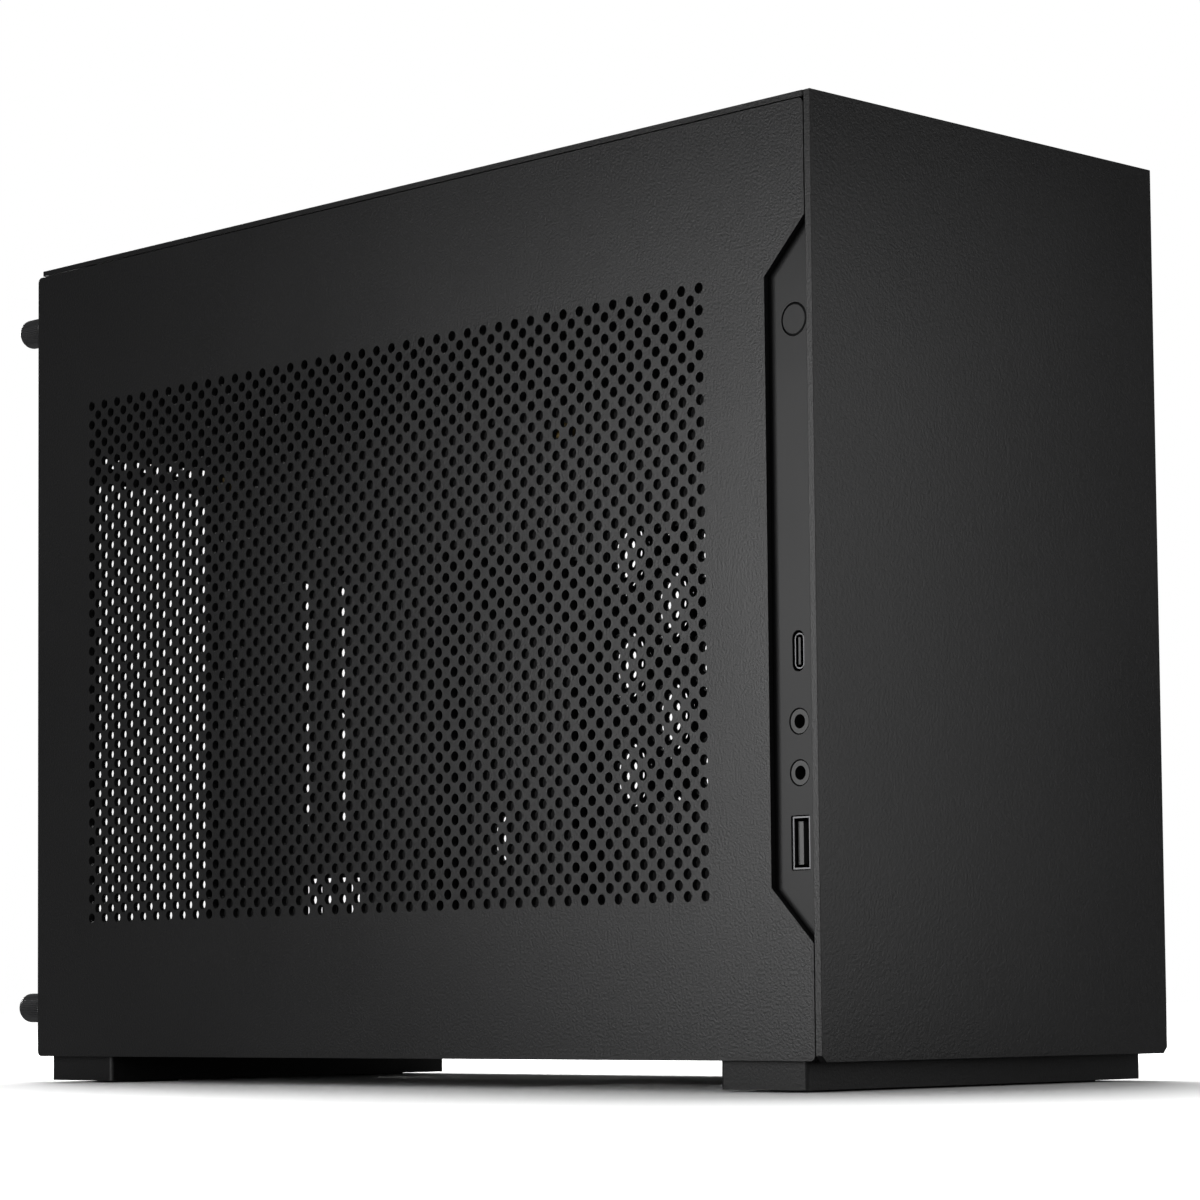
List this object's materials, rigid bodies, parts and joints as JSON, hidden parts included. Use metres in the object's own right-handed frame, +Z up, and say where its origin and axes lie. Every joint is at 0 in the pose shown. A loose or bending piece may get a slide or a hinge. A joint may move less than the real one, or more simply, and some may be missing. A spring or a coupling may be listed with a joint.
{
  "type": "mini itx pc case",
  "caption": "Compact two-chamber computer case with perforated side panels, a strip of ports down one front edge, and bar feet.",
  "frame": {"origin": "centre of the whole case's footprint, on the surface it stands on", "axes": "+X to the right seen from the front, +Y to the rear, +Z up; the port strip is on the -X side at the front"},
  "size_m": [0.14, 0.338, 0.2515],
  "materials": {
    "black_anodised": "fine satin anodised",
    "black_frame": "matt powder coat",
    "strip_plastic": "smooth moulded",
    "port_metal": "plated shell",
    "black_plastic": "moulded",
    "rubber": "matt",
    "black_screw": "anodised and knurled",
    "plated_screw": "zinc plated",
    "circuit_board": "solder mask",
    "brass_spacer": "turned"
  },
  "bodies": {
    "chassis": {"front_panel": "black_anodised", "front_frame": "black_frame", "base_pan": "black_frame", "rear_panel": "black_frame", "top_frame": "black_frame", "radiator_bracket": "black_frame", "centre_wall": "black_frame", "board_spacers": "brass_spacer", "psu_bracket": "black_frame", "riser_bracket": "black_frame", "riser_board": "circuit_board", "riser_socket": "black_plastic", "riser_screws": "plated_screw", "thread_bushes": "plated_screw", "frame_rivets": "black_frame", "stud_clips": "black_plastic", "bracket_screws": "plated_screw", "io_strip": "strip_plastic", "io_strip_screws": "plated_screw", "io_board": "circuit_board", "io_board_screws": "plated_screw", "power_switch": "black_plastic", "usb_c_port": "port_metal", "audio_socket_upper": "black_plastic", "audio_socket_lower": "black_plastic", "usb_a_port": "port_metal", "front_foot": "black_anodised", "rear_foot": "black_anodised", "foot_pads": "rubber", "foot_screws": "plated_screw", "slot_cover_1": "black_frame", "slot_cover_2": "black_frame", "slot_cover_3": "black_frame", "slot_cover_screws": "black_screw", "mains_inlet": "black_plastic", "inlet_screws": "black_screw"},
    "left_panel": {"left_side_panel": "black_anodised"},
    "right_panel": {"right_side_panel": "black_anodised"},
    "lid": {"top_panel": "black_anodised", "panel_studs": "plated_screw"},
    "button": {"power_button": "strip_plastic"},
    "left_upper_screw": {"thumbscrew_left_upper": "black_screw"},
    "left_lower_screw": {"thumbscrew_left_lower": "black_screw"},
    "right_upper_screw": {"thumbscrew_right_upper": "black_screw"},
    "right_lower_screw": {"thumbscrew_right_lower": "black_screw"}
  },
  "joints": [
    {"name": "left_panel_slide", "type": "slide", "parent": "chassis", "child": "left_panel", "axis": [0, 1, 0], "range_m": [0, 0.012]},
    {"name": "right_panel_slide", "type": "slide", "parent": "chassis", "child": "right_panel", "axis": [0, 1, 0], "range_m": [0, 0.012]},
    {"name": "lid_lift", "type": "slide", "parent": "chassis", "child": "lid", "axis": [0, 0, 1], "range_m": [0, 0.012]},
    {"name": "button_press", "type": "slide", "parent": "chassis", "child": "button", "axis": [1, 0, 0], "range_m": [0, 0.0008], "stiffness_N_per_m": 1200, "springref_m": -0.0004},
    {"name": "left_upper_turn", "type": "hinge", "parent": "left_panel", "child": "left_upper_screw", "pos_m": [-0.0645, 0.1565, 0.234], "axis": [0, 1, 0], "continuous": true},
    {"name": "left_lower_turn", "type": "hinge", "parent": "left_panel", "child": "left_lower_screw", "pos_m": [-0.0645, 0.1565, 0.0227], "axis": [0, 1, 0], "continuous": true},
    {"name": "right_upper_turn", "type": "hinge", "parent": "right_panel", "child": "right_upper_screw", "pos_m": [0.0645, 0.1565, 0.234], "axis": [0, 1, 0], "continuous": true},
    {"name": "right_lower_turn", "type": "hinge", "parent": "right_panel", "child": "right_lower_screw", "pos_m": [0.0645, 0.1565, 0.0227], "axis": [0, 1, 0], "continuous": true}
  ]
}
